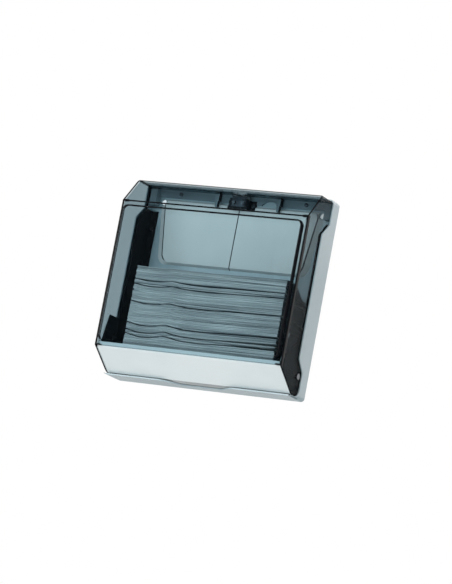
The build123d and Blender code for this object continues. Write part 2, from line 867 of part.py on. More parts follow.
# Latch spring: steel leaf with a nose that holds the cover
leaf_top = finger_bottom + spring_gap
with BuildPart() as latch_spring:
    leg_outer = latch_body_depth + spring_thickness
    with BuildSketch(side(0)) as leaf:
        with BuildLine():
            Polyline(
                at(latch_body_depth, spring_leg_bottom),
                at(leg_outer, spring_leg_bottom),
                at(leg_outer, leaf_top),
                at(spring_rear_depth, leaf_top),
                at(spring_rear_depth, leaf_top + spring_thickness),
                at(latch_body_depth, leaf_top + spring_thickness),
                close=True,
            )
        make_face()
        fillet(near(leaf.vertices(), at(leg_outer, leaf_top)), spring_bend_radius)
        inner_corner = at(latch_body_depth, leaf_top + spring_thickness)
        fillet(near(leaf.vertices(), inner_corner), spring_bend_radius - spring_thickness)
    extrude(amount=button_half_width, both=True)
    with BuildSketch(side(0)):
        with BuildLine():
            Polyline(
                at(nose_rear, leaf_top + spring_thickness / 2),
                at(nose_rear, leaf_top - nose_rise),
                at(nose_rear + spring_thickness, leaf_top - nose_rise),
                at(nose_front, leaf_top + spring_thickness / 2),
                close=True,
            )
        make_face()
    extrude(amount=nose_width / 2, both=True)
    with BuildSketch(front(latch_body_depth)):
        with Locations(*[(s * latch_screw_x, up(latch_screw_drop)) for s in (-1, 1)]):
            Circle(screw_shank / 2 + screw_fit)
    extrude(amount=spring_thickness, mode=Mode.SUBTRACT)
finish(latch_spring, "latch_spring")


# Screws: each group is one node of separate solids
def screw(plane, grip):
    """One slotted pan-head screw, its head on `plane`, facing its normal."""
    with BuildPart() as one:
        with BuildSketch(plane):
            Circle(screw_head / 2)
        extrude(amount=screw_head_height)
        with BuildSketch(plane):
            Circle(screw_shank / 2)
        extrude(amount=-grip)
        with BuildSketch(plane.offset(screw_head_height)):
            Rectangle(screw_head, slot_width)
        extrude(amount=-slot_depth, mode=Mode.SUBTRACT)
    return one.part


def front_screw(x, drop, seat):
    """Plane of a screw head that faces the room."""
    return Plane(origin=(x, -seat, up(drop)), x_dir=(1, 0, 0), z_dir=(0, -1, 0))


def screw_group(label, seats):
    """Write one node that holds a screw for each (plane, grip) pair."""
    screws = [screw(plane, grip) for plane, grip in seats]
    with BuildPart() as group:
        add(screws)
    finish(group, label)


flange_seat = back_thickness + bracket_flange_thickness
screw_group(
    "bracket_screws",
    [
        (front_screw(s * bracket_screw_x, drop, flange_seat), bracket_flange_thickness + screw_bite)
        for s in (-1, 1)
        for drop in bracket_screw_drops
    ],
)
rail_seat = back_thickness + rail_thickness
screw_group(
    "rail_screws",
    [
        (front_screw(s * rail_screw_x, rail_screw_drop, rail_seat), rail_thickness + screw_bite)
        for s in (-1, 1)
    ],
)
ear_seat = back_thickness + latch_ear_thickness
leaf_seat = latch_body_depth + spring_thickness
screw_group(
    "latch_screws",
    [
        (front_screw(s * latch_ear_x(), latch_ear_drop(), ear_seat), latch_ear_thickness + screw_bite)
        for s in (-1, 1)
    ]
    + [
        (front_screw(s * latch_screw_x, latch_screw_drop, leaf_seat), spring_thickness + screw_bite)
        for s in (-1, 1)
    ],
)
screw_group(
    "apron_screws",
    [
        (
            Plane(origin=(s * cheek_inner, -depth, up(drop)), x_dir=(0, 1, 0), z_dir=(-s, 0, 0)),
            cheek_thickness + bracket_thickness,
        )
        for s in (-1, 1)
        for depth, drop in apron_screw_places
    ],
)


# Towels: seven bundles of folded sheets and the sheet that is drawn next
def stack_rear():
    """Depth of the rear of the stack."""
    return panel_face_depth + stack_rear_gap


def lead_line(lift):
    """Side view of the lowest towel's fold, `lift` above its underside."""
    rest = stack_floor_gap + lift
    bend = slant_depth(floor_drop, apron_inset + apron_thickness)
    return [
        at(lead_front_depth, apron_inner_drop(lead_front_depth) - rest),
        at(bend, floor_drop - rest),
        at(stack_rear(), floor_drop - rest),
    ]


def bundle_side_view(index):
    """Side view of one bundle, from the top one (0) down to the last."""
    top = stack_tops[index]
    rear = stack_rear()
    if index + 1 < len(stack_tops):
        bottom = stack_tops[index + 1] - bundle_gap
        low = [at(stack_front_depth, bottom), at(rear, bottom)]
    else:
        low = [at(stack_front_depth, apron_inner_drop(stack_front_depth) - stack_floor_gap)]
        low += [at(lead_front_depth + bundle_gap, apron_inner_drop(lead_front_depth) - stack_floor_gap)]
        low += lead_line(lead_thickness + bundle_gap)
    if index == 0:
        high = [
            at(rear, top + stack_rear_drop),
            at(stack_step_rear, top + stack_rear_drop),
            at(stack_step_front, top),
            at(stack_front_depth, top),
        ]
    else:
        high = [at(rear, top), at(stack_front_depth, top)]
    return high + low


for index in range(len(stack_tops)):
    with BuildPart() as bundle:
        with BuildSketch(side(towel_shift)):
            with BuildLine():
                Polyline(*bundle_side_view(index), close=True)
            make_face()
        extrude(amount=towel_length / 2, both=True)
    finish(bundle, f"towel_bundle_{index + 1}")

# Lowest towel: it lies on the apron and the bottom plate, over the notch
with BuildPart() as lead_towel:
    with BuildSketch(side(towel_shift)):
        with BuildLine():
            Polyline(*lead_line(0), *reversed(lead_line(lead_thickness)), close=True)
        make_face()
    extrude(amount=towel_length / 2, both=True)
finish(lead_towel, "lead_towel")
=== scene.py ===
"""Folded paper towel dispenser: finishes, towels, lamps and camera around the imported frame.

Places are in metres in the frame of the CAD model: X to the right, Y into the
wall and Z up, with the origin in the middle of the housing's back. In the
finishes, a field named turn is the span of a face's normal along one axis over
which something sets in, and one named span is the same for a noise.
"""

import logging
import math
from dataclasses import dataclass, field
from enum import Enum
from typing import Callable, Sequence, Union

import bmesh
import bpy
import numpy as np
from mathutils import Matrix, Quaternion, Vector


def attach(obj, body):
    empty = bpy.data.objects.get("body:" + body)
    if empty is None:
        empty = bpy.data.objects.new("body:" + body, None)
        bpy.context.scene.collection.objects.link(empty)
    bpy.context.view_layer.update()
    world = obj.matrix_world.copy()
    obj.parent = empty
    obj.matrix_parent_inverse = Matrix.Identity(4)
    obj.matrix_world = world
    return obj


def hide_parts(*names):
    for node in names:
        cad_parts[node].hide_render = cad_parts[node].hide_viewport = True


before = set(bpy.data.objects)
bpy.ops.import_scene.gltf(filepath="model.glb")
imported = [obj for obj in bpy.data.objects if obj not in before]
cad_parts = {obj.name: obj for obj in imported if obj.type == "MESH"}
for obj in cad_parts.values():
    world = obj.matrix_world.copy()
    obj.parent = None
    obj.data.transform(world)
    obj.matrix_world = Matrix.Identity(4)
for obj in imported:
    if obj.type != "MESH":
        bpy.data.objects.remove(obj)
log = logging.getLogger("dispenser")

MM = 0.001
HALF_HEIGHT = 143.5 * MM
ALONG = 0.99
SMOOTH_ANGLE = math.radians(50)
WHITE = (1.0, 1.0, 1.0)
NOISE_MIDDLE = 0.5
MIX_FACTOR, MIX_FIRST, MIX_SECOND, MIX_RESULT = 0, 6, 7, 2
Triple = tuple[float, float, float]
Colour = Triple
Span = tuple[float, float]


def up(drop_mm: float) -> float:
    """Height in metres of what lies drop_mm below the top of the housing."""
    return HALF_HEIGHT - drop_mm * MM


class Body(Enum):
    """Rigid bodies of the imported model."""

    HOUSING = "housing"
    COVER = "cover"
    BUTTON = "button"


class Signal:
    """A number that varies over a surface: a socket with arithmetic."""

    def __init__(self, graph: "Graph", socket: bpy.types.NodeSocket) -> None:
        """Wraps an output socket of one of the graph's nodes."""
        self.graph = graph
        self.socket = socket

    def math(self, operation: str, *values: "Value") -> "Signal":
        """This signal, and other values behind it, through one Math node."""
        return self.graph.math(operation, self, *values)

    def __add__(self, other: "Value") -> "Signal":
        """Sum."""
        return self.graph.math("ADD", self, other)

    def __radd__(self, other: "Value") -> "Signal":
        """Sum with a number on the left."""
        return self.graph.math("ADD", other, self)

    def __sub__(self, other: "Value") -> "Signal":
        """Difference."""
        return self.graph.math("SUBTRACT", self, other)

    def __rsub__(self, other: "Value") -> "Signal":
        """Difference from a number on the left."""
        return self.graph.math("SUBTRACT", other, self)

    def __mul__(self, other: "Value") -> "Signal":
        """Product."""
        return self.graph.math("MULTIPLY", self, other)

    def __rmul__(self, other: "Value") -> "Signal":
        """Product with a number on the left."""
        return self.graph.math("MULTIPLY", other, self)

    def __truediv__(self, other: "Value") -> "Signal":
        """Quotient."""
        return self.graph.math("DIVIDE", self, other)

    def __pow__(self, other: "Value") -> "Signal":
        """Power."""
        return self.graph.math("POWER", self, other)

    def __abs__(self) -> "Signal":
        """Absolute value."""
        return self.graph.math("ABSOLUTE", self)

    def least(self, other: "Value") -> "Signal":
        """The smaller of this and another value."""
        return self.graph.math("MINIMUM", self, other)

    def most(self, other: "Value") -> "Signal":
        """The larger of this and another value."""
        return self.graph.math("MAXIMUM", self, other)

    def swing(self, size: float) -> "Signal":
        """A noise moved to lie about zero, from minus to plus half the size."""
        return (self - NOISE_MIDDLE) * size

    def rise(self, start: float, end: float) -> "Signal":
        """A smooth step from 0 at start to 1 at end.

        Args:
            start: Value of this signal where the step leaves 0.
            end: Value of this signal where the step reaches 1.

        Returns:
            The step, which falls instead where end is below start.
        """
        low, high = (start, end) if start < end else (end, start)
        made = self.graph.node(
            "ShaderNodeMapRange",
            {"interpolation_type": "SMOOTHSTEP"},
            {"Value": self, "From Min": low, "From Max": high},
        )
        step = Signal(self.graph, made.outputs["Result"])
        return step if start < end else 1 - step


Value = Union[Signal, float]


class Graph:
    """A node tree whose nodes all come from one method."""

    def __init__(self, tree: bpy.types.NodeTree) -> None:
        """Empties the node tree of a material or a world."""
        self.tree = tree
        self.tree.nodes.clear()

    def node(
        self, kind: str, settings: dict | None = None, inputs: dict | None = None
    ) -> bpy.types.Node:
        """Adds a node.

        Args:
            kind: Type name of the node.
            settings: Properties of the node, set before its sockets.
            inputs: Values or signals by socket name or number.

        Returns:
            The node.
        """
        made = self.tree.nodes.new(kind)
        for key, value in (settings or {}).items():
            setattr(made, key, value)
        for key, value in (inputs or {}).items():
            if isinstance(value, Signal):
                self.tree.links.new(value.socket, made.inputs[key])
            else:
                if isinstance(value, tuple) and made.inputs[key].type == "RGBA":
                    value = (*value, 1.0)
                made.inputs[key].default_value = value
        return made

    def math(self, operation: str, *values: Value) -> Signal:
        """The result of one Math node over signals and numbers."""
        made = self.node("ShaderNodeMath", {"operation": operation}, dict(enumerate(values)))
        return Signal(self, made.outputs[0])


@dataclass(frozen=True)
class Grain:
    """A noise: repeats per metre, octaves, and factors on the axes that draw it out."""

    scale: float
    detail: float = 2.0
    stretch: Triple = (1.0, 1.0, 1.0)


class Recipe(Graph):
    """The node tree of one material, written as expressions."""

    def __init__(self, name: str) -> None:
        """Starts an empty material.

        Args:
            name: Name of the material.
        """
        self.material = bpy.data.materials.new(name)
        self.material.use_nodes = True
        super().__init__(self.material.node_tree)
        place = self.node("ShaderNodeTexCoord")
        self.place = Signal(self, place.outputs["Object"])
        self.facing = Signal(self, place.outputs["Normal"])

    def axes(self, vector: Signal | None = None) -> tuple[Signal, Signal, Signal]:
        """X, Y and Z of a vector, by default of the place on the object."""
        made = self.node("ShaderNodeSeparateXYZ", None, {0: vector or self.place})
        return tuple(Signal(self, made.outputs[i]) for i in range(3))

    def grain(self, pattern: Grain) -> Signal:
        """Noise between 0 and 1 over the object.

        Args:
            pattern: The noise to make.

        Returns:
            The noise.
        """
        drawn_out = self.node(
            "ShaderNodeMapping", None, {"Vector": self.place, "Scale": pattern.stretch}
        )
        made = self.node(
            "ShaderNodeTexNoise",
            None,
            {
                "Vector": Signal(self, drawn_out.outputs[0]),
                "Scale": pattern.scale,
                "Detail": pattern.detail,
            },
        )
        return Signal(self, made.outputs[0])

    def specks(self, scale: float) -> Signal:
        """Distance to the nearest of many scattered points, in cells."""
        made = self.node("ShaderNodeTexVoronoi", None, {"Vector": self.place, "Scale": scale})
        return Signal(self, made.outputs["Distance"])

    def colour(self, factor: Value, first: Colour | Signal, second: Colour | Signal) -> Signal:
        """A colour between two.

        Args:
            factor: 0 gives the first colour, 1 the second.
            first: The lower colour.
            second: The upper colour.

        Returns:
            The colour.
        """
        made = self.node(
            "ShaderNodeMix",
            {"data_type": "RGBA"},
            {MIX_FACTOR: factor, MIX_FIRST: first, MIX_SECOND: second},
        )
        return Signal(self, made.outputs[MIX_RESULT])

    def bump(self, height: Signal, depth: float, strength: float = 1.0) -> Signal:
        """A normal from a height between 0 and 1.

        Args:
            height: The height pattern.
            depth: Height in metres of a full step.
            strength: Share of the effect.

        Returns:
            The normal.
        """
        made = self.node(
            "ShaderNodeBump", None, {"Height": height, "Distance": depth, "Strength": strength}
        )
        return Signal(self, made.outputs[0])

    def surface(
        self, inputs: dict, cover: Value | None = None, clear: Colour = WHITE
    ) -> bpy.types.Material:
        """Ends the recipe in a Principled shader.

        Args:
            inputs: Values or signals of the shader's sockets.
            cover: How far the shader covers what is behind it, where it can be seen through.
            clear: Colour of what comes through.

        Returns:
            The finished material.
        """
        shader = self.node("ShaderNodeBsdfPrincipled", None, inputs)
        if cover is not None:
            film = self.node("ShaderNodeBsdfTransparent", None, {"Color": clear})
            first, second = (Signal(self, node.outputs[0]) for node in (film, shader))
            shader = self.node("ShaderNodeMixShader", None, {0: cover, 1: first, 2: second})
        self.node(
            "ShaderNodeOutputMaterial", None, {"Surface": Signal(self, shader.outputs[0])}
        )
        return self.material


@dataclass(frozen=True)
class MouldedPlastic:
    """Opaque moulded plastic with a faint cloudiness, a fine texture and handling marks.

    It can carry painted shade: a dark line in an upright groove, a dark line along a crease on its
    sloping sides at a given depth, and a painted shade colour on the sides that face left or right.
    """

    name: str
    colour: Colour
    shade: Colour
    roughness: float = 0.42
    texture: Grain = Grain(1400.0)
    texture_depth: float = 0.00003
    coat: float = 0.0
    coat_roughness: float = 0.12
    shine: float = 0.5
    scuffs: float = 0.04
    # the groove and crease lines are painted shade, darker than the geometry's own shadow
    groove_x: float | None = None
    groove_half: float = 0.9 * MM
    groove_soft: float = 0.6
    shade_line_colour: Colour = (0.02, 0.03, 0.035)
    crease_depth: float | None = None
    crease_edges: Span = (1.2 * MM, 0.8 * MM)
    slope_turn: Span = (0.25, 0.35)
    # the sideways colour is painted shade on the faces that turn left or right
    flank_shade: Colour | None = None
    flank_reach: float = 1.0
    flank_turn: Span = (0.6, 0.8)
    soft: float = 1.0 * MM
    cloud: Grain = Grain(9.0, 3.0)
    flow: Grain = Grain(26.0, 2.0, (1.0, 1.0, 0.25))
    scratch: Grain = Grain(320.0, 2.0, (1.0, 1.0, 0.06))
    scratch_span: Span = (0.62, 0.74)
    rub: Grain = Grain(14.0, 4.0)
    rub_span: Span = (0.52, 0.7)
    tone_shares: Span = (0.7, 0.3)
    tone_span: Span = (0.35, 0.65)
    cloud_roughness: float = 0.10
    scratch_roughness: float = 0.08
    bump_shares: Span = (0.8, 0.2)

    def markings(self, recipe: Recipe, tone: Signal) -> Signal:
        """The painted shade of the groove, the crease and the sides that face left or right, over
        the plastic's own colour.

        Args:
            recipe: The recipe under way.
            tone: The plastic's colour.

        Returns:
            The colour with what this plastic has of them.
        """
        # painted shade in the groove
        if self.groove_x is not None:
            off = abs(recipe.axes()[0] - self.groove_x)
            groove = off.rise(self.groove_half, self.groove_soft * self.groove_half)
            tone = recipe.colour(groove, tone, self.shade_line_colour)
        # painted shade along the crease on the sloping sides
        if self.crease_depth is not None:
            start, end = (self.crease_depth - edge for edge in self.crease_edges)
            sloping = abs(recipe.axes(recipe.facing)[0]).rise(*self.slope_turn)
            crease = (0 - recipe.axes()[1]).rise(start, end)
            tone = recipe.colour(sloping * crease, tone, self.shade_line_colour)
        # painted shade on the faces that turn left or right
        if self.flank_shade is not None:
            turned, across = recipe.axes(recipe.facing)[0], recipe.axes()[0]
            outward = (turned * across).rise(0.0, self.soft)
            near = 1 - abs(across).rise(self.flank_reach, self.flank_reach + self.soft)
            sideways_shade = abs(turned).rise(*self.flank_turn) * outward.most(near)
            tone = recipe.colour(sideways_shade, tone, self.flank_shade)
        return tone

    def material(self) -> bpy.types.Material:
        """Builds the material."""
        recipe = Recipe(self.name)
        cloud, flow, fine = (recipe.grain(g) for g in (self.cloud, self.flow, self.texture))
        scratched = recipe.grain(self.scratch).rise(*self.scratch_span)
        rubbed = scratched * recipe.grain(self.rub).rise(*self.rub_span)
        mix = cloud * self.tone_shares[0] + flow * self.tone_shares[1]
        tone = recipe.colour(mix.rise(*self.tone_span), self.colour, self.shade)
        tone = recipe.colour(rubbed * self.scuffs, tone, WHITE)
        roughness = self.roughness + cloud.swing(self.cloud_roughness)
        height = fine * self.bump_shares[0] + flow * self.bump_shares[1]
        return recipe.surface(
            {
                "Base Color": self.markings(recipe, tone),
                "Roughness": roughness + rubbed * self.scratch_roughness,
                "Specular IOR Level": self.shine,
                "Coat Weight": self.coat,
                "Coat Roughness": self.coat_roughness,
                "Normal": recipe.bump(height, self.texture_depth),
            }
        )


@dataclass(frozen=True)
class BrightSteel:
    """Turned or stamped steel with fine lines."""

    name: str
    colour: Colour
    shade: Colour
    roughness: float
    lines: Grain = Grain(2600.0, 2.0, (0.08, 1.0, 1.0))
    lines_span: Span = (0.3, 0.7)
    lines_depth: float = 0.00001
    dull: Grain = Grain(180.0, 3.0)
    dull_roughness: float = 0.2

    def material(self) -> bpy.types.Material:
        """Builds the material."""
        recipe = Recipe(self.name)
        drawn, dull = recipe.grain(self.lines), recipe.grain(self.dull)
        tone = recipe.colour(drawn.rise(*self.lines_span), self.colour, self.shade)
        return recipe.surface(
            {
                "Base Color": tone,
                "Metallic": 1.0,
                "Roughness": self.roughness + dull.swing(self.dull_roughness),
                "Normal": recipe.bump(drawn, self.lines_depth),
            }
        )


@dataclass(frozen=True)
class Outline:
    """A rounded rectangle that faces the room: half width, top, bottom and corner radius."""

    half: float
    top: float
    bottom: float
    radius: float

    def distance(self, recipe: Recipe) -> Signal:
        """Signed distance to the outline.

        Args:
            recipe: The recipe under way.

        Returns:
            Metres outside the outline, negative inside.
        """
        x, _, z = recipe.axes()
        across = abs(x) - (self.half - self.radius)
        along = abs(z - (self.top + self.bottom) / 2)
        along = along - ((self.top - self.bottom) / 2 - self.radius)
        outside = (across.most(0.0) ** 2 + along.most(0.0) ** 2).math("SQRT")
        return outside + across.most(along).least(0.0) - self.radius


@dataclass(frozen=True)
class SmokedPlastic:
    """Clear smoke-tinted sheet with painted dark lines at its edges and bends.

    The painted lines stand for the shade that a clear sheet shows at its edges and bends: dark
    lines round the window, round the foot of its bevel, along the roof's slope and on the rear rim.
    Lines, depths, heights and reaches are in metres.
    """

    name: str
    tint: Colour = (0.004, 0.008, 0.010)
    # colour of the painted dark lines at the sheet's edges and bends
    edge: Colour = (0.002, 0.003, 0.005)
    passed: Colour = (0.89, 0.962, 0.988)
    wall_alpha: float = 0.09
    side_alpha: float = 0.35
    roof_alpha: float = 0.5
    bevel_alpha: float = 0.08
    # the painted dark lines hide all that is behind them
    edge_shade_alpha: float = 1.0
    side_line: float = 2.0 * MM
    base_line: float = 2.5 * MM
    level_line: float = 1.3 * MM
    line_soft: Span = (0.45, 1.0)
    window: Outline = Outline(140.9 * MM, up(49.0), up(246.0), 8.0 * MM)
    base: Outline = Outline(147.1 * MM, up(41.0), up(253.0), 2.0 * MM)
    front_depths: Span = (87.0 * MM, 87.4 * MM)
    corner_depths: Span = (82.4 * MM, 83.0 * MM)
    bevel_edge: Span = (-0.2 * MM, 0.2 * MM)
    upright_reach: Span = (135.9 * MM, 138.9 * MM)
    sill_fade: float = 0.75
    sill_heights: Span = (up(238.0), up(241.0))
    rim_turn: Span = (0.6, 0.9)
    rim_depths: Span = (60.0 * MM, 55.0 * MM)
    foot_turn: Span = (0.3, 0.6)
    foot_depths: Span = (86.0 * MM, 84.0 * MM)
    foot_reach: Span = (140.0 * MM, 143.0 * MM)
    gable_turn: Span = (0.8, 0.5)
    gable_reach: Span = (144.3 * MM, 145.0 * MM)
    slope_turn: Span = (0.5, 0.6)
    flat_turn: Span = (0.85, 0.75)
    crest_heights: Span = (139.3 * MM, 139.86 * MM)
    slope_reach: Span = (145.1 * MM, 145.5 * MM)
    square_turn: Span = (0.85, 0.95)
    roof_heights: Span = (up(20.0), up(10.0))
    haze: Grain = Grain(11.0, 4.0)
    haze_alpha: float = 0.03
    smear: Grain = Grain(60.0, 3.0, (1.0, 1.0, 0.2))
    smear_roughness: float = 0.06
    smear_depth: float = 0.00002
    smear_strength: float = 0.6
    hairline: Grain = Grain(420.0, 2.0, (1.0, 1.0, 0.05))
    hairline_span: Span = (0.66, 0.72)
    hairline_alpha: float = 0.02
    hairline_roughness: float = 0.1
    level_turn: Span = (0.3, 0.6)
    slant_blend: float = 0.32
    slant_alpha: float = 0.05
    roughness: float = 0.07
    refraction: float = 1.585
    shine: float = 0.02

    def outline_line(self, off: Signal, upright: Signal, line: float) -> Signal:
        """The painted dark line along an outline, where upright is 1 as wide as line says."""
        width = self.level_line + upright * (line - self.level_line)
        return 1 - (abs(off) / width).rise(*self.line_soft)

    def edge_shade_lines(self, recipe: Recipe, window: Signal, in_front: Signal) -> Signal:
        """Where the sheet has its painted dark lines, the shade of its edges and bends.

        Args:
            recipe: The recipe under way.
            window: Signed distance to the window's outline.
            in_front: 1 on the front face and its bevel.

        Returns:
            1 on the lines and 0 between them.
        """
        x, y, z = recipe.axes()
        face_x, face_y, face_z = recipe.axes(recipe.facing)
        depth = 0 - y
        upright = abs(x).rise(*self.upright_reach)
        inner = in_front * self.outline_line(window, upright, self.side_line)
        base = self.outline_line(self.base.distance(recipe), upright, self.base_line)
        outer = depth.rise(*self.corner_depths) * base
        sill = (1 - upright) * z.rise(*self.sill_heights)
        framed = inner.most(outer) * (1 - sill * self.sill_fade)
        rim = face_y.rise(*self.rim_turn) * depth.rise(*self.rim_depths)
        foot = (0 - face_z).rise(*self.foot_turn) * depth.rise(*self.foot_depths)
        foot = foot * abs(x).rise(*self.foot_reach)
        gable = abs(x).rise(*self.gable_reach) * abs(face_x).rise(*self.gable_turn)
        slope = face_z.rise(*self.slope_turn) * face_z.rise(*self.flat_turn)
        ridges = slope * z.rise(*self.crest_heights).most(abs(x).rise(*self.slope_reach))
        return framed.most(rim).most(foot).most(gable).most(ridges)

    def sheet(self, recipe: Recipe, bevel: Signal) -> Signal:
        """How far the sheet between the painted dark lines hides what is behind it.

        Args:
            recipe: The recipe under way.
            bevel: 1 on the bevel round the window.

        Returns:
            The cover of the front, sides, roof and bevel.
        """
        face_x, _, face_z = recipe.axes(recipe.facing)
        side = abs(face_x).rise(*self.square_turn)
        under = face_z.rise(*(-turn for turn in self.square_turn))
        under = under * recipe.axes()[2].rise(*self.roof_heights)
        roof = face_z.rise(*self.square_turn).most(under)
        cover = self.wall_alpha + side * (self.side_alpha - self.wall_alpha)
        cover = cover + roof * (self.roof_alpha - cover)
        return cover + bevel * (self.bevel_alpha - cover)

    def material(self) -> bpy.types.Material:
        """Builds the material."""
        recipe = Recipe(self.name)
        window = self.window.distance(recipe)
        in_front = (0 - recipe.axes()[1]).rise(*self.front_depths)
        # painted shade lines along the edges and bends
        dark = self.edge_shade_lines(recipe, window, in_front)
        haze, smear = recipe.grain(self.haze), recipe.grain(self.smear)
        wall = 1 - abs(recipe.axes(recipe.facing)[2]).rise(*self.level_turn)
        hairline = recipe.grain(self.hairline).rise(*self.hairline_span) * wall
        glancing = recipe.node("ShaderNodeLayerWeight", None, {"Blend": self.slant_blend})
        slant = Signal(recipe, glancing.outputs["Facing"])
        cover = self.sheet(recipe, in_front * window.rise(*self.bevel_edge))
        cover = cover + haze.swing(self.haze_alpha) + slant * self.slant_alpha
        cover = cover + hairline * self.hairline_alpha
        cover = cover + dark * (self.edge_shade_alpha - cover)
        roughness = self.roughness + smear.swing(self.smear_roughness)
        return recipe.surface(
            {
                "Base Color": recipe.colour(dark, self.tint, self.edge),
                "Roughness": roughness + hairline * self.hairline_roughness,
                "IOR": self.refraction,
                "Specular IOR Level": self.shine,
                "Normal": recipe.bump(smear, self.smear_depth, self.smear_strength),
            },
            cover.least(1.0),
            self.passed,
        )


@dataclass(frozen=True)
class Tissue:
    """Soft folded paper with fibres, embossed dots, grey fold shadows painted as lines between the
    sheets and painted shade on the towels' end faces.
    """

    name: str
    colour: Colour = (0.585, 0.62, 0.625)
    shade: Colour = (0.37, 0.405, 0.415)
    # seam is the painted shadow colour in the gaps between sheets
    seam: Colour = (0.12, 0.145, 0.16)
    # painted shade on the towels' end faces
    end_shade: Colour = (0.020, 0.028, 0.035)
    roughness: float = 0.93
    fibre: Grain = Grain(1500.0, 3.0, (0.35, 1.0, 1.0))
    band: Grain = Grain(420.0, 2.0, (0.02, 0.2, 1.0))
    broad: Grain = Grain(20.0, 3.0)
    tone_shares: Triple = (0.6, 0.2, 0.2)
    tone_span: Span = (0.38, 0.62)
    # this grain draws the painted shadow lines between the sheets
    line: Grain = Grain(640.0, 1.0, (0.006, 0.03, 1.0))
    gap_shadow_span: Span = (0.55, 0.66)
    gap_shadow_share: float = 0.8
    dot_scale: float = 650.0
    dot_span: Span = (0.15, 0.45)
    end_shade_turn: Span = (0.6, 0.9)
    fibre_roughness: float = 0.08
    bump_share: float = 0.5
    bump_depth: float = 0.00008
    bump_strength: float = 0.8

    def material(self) -> bpy.types.Material:
        """Builds the material."""
        recipe = Recipe(self.name)
        fibre, band, broad = (recipe.grain(g) for g in (self.fibre, self.band, self.broad))
        of_band, of_broad, of_fibre = self.tone_shares
        mix = band * of_band + broad * of_broad + fibre * of_fibre
        tone = recipe.colour(mix.rise(*self.tone_span), self.colour, self.shade)
        # painted shadow lines between the sheets
        line = recipe.grain(self.line).rise(*self.gap_shadow_span)
        tone = recipe.colour(line * self.gap_shadow_share, tone, self.seam)
        # painted shade on the faces that turn left or right, the towels' end faces
        end = abs(recipe.axes(recipe.facing)[0]).rise(*self.end_shade_turn)
        dots = recipe.specks(self.dot_scale).rise(*self.dot_span)
        height = dots * self.bump_share + fibre * self.bump_share
        return recipe.surface(
            {
                "Base Color": recipe.colour(end, tone, self.end_shade),
                "Roughness": self.roughness + fibre.swing(self.fibre_roughness),
                "Normal": recipe.bump(height, self.bump_depth, self.bump_strength),
            }
        )


class Mesher:
    """Modelling steps of the pieces that are new in this file."""

    @staticmethod
    def start(name: str) -> bpy.types.Object:
        """Adds a unit cube at the origin with nothing else selected.

        Args:
            name: Name of the new object.

        Returns:
            The cube's object, active and in object mode.
        """
        bpy.ops.object.select_all(action="DESELECT")
        bpy.ops.mesh.primitive_cube_add(size=1.0, location=(0.0, 0.0, 0.0))
        made = bpy.context.active_object
        made.name = name
        return made

    @staticmethod
    def pick_edges(piece: bpy.types.Object, test: Callable[[Vector], bool]) -> None:
        """Selects the edges that pass a test, in edit mode.

        Args:
            piece: The object in edit mode.
            test: Takes an edge's unit direction.
        """
        grid = bmesh.from_edit_mesh(piece.data)
        for face in grid.faces:
            face.select = False
        for edge in grid.edges:
            first, second = (v.co for v in edge.verts)
            edge.select = test((second - first).normalized())
        bmesh.update_edit_mesh(piece.data)

    @staticmethod
    def smooth(values: np.ndarray, width: int, **ends: str) -> np.ndarray:
        """Moving average over an odd number of values, padded at the ends as numpy's pad says."""
        return np.convolve(np.pad(values, width // 2, **ends), np.ones(width) / width, "valid")


@dataclass(frozen=True)
class Bundle:
    """One bundle of folded towels between two visible gaps, its top given as a drop in mm."""

    number: int
    top: float
    sheets: int
    right_gap: float = 0.0
    wave: float = 1.0


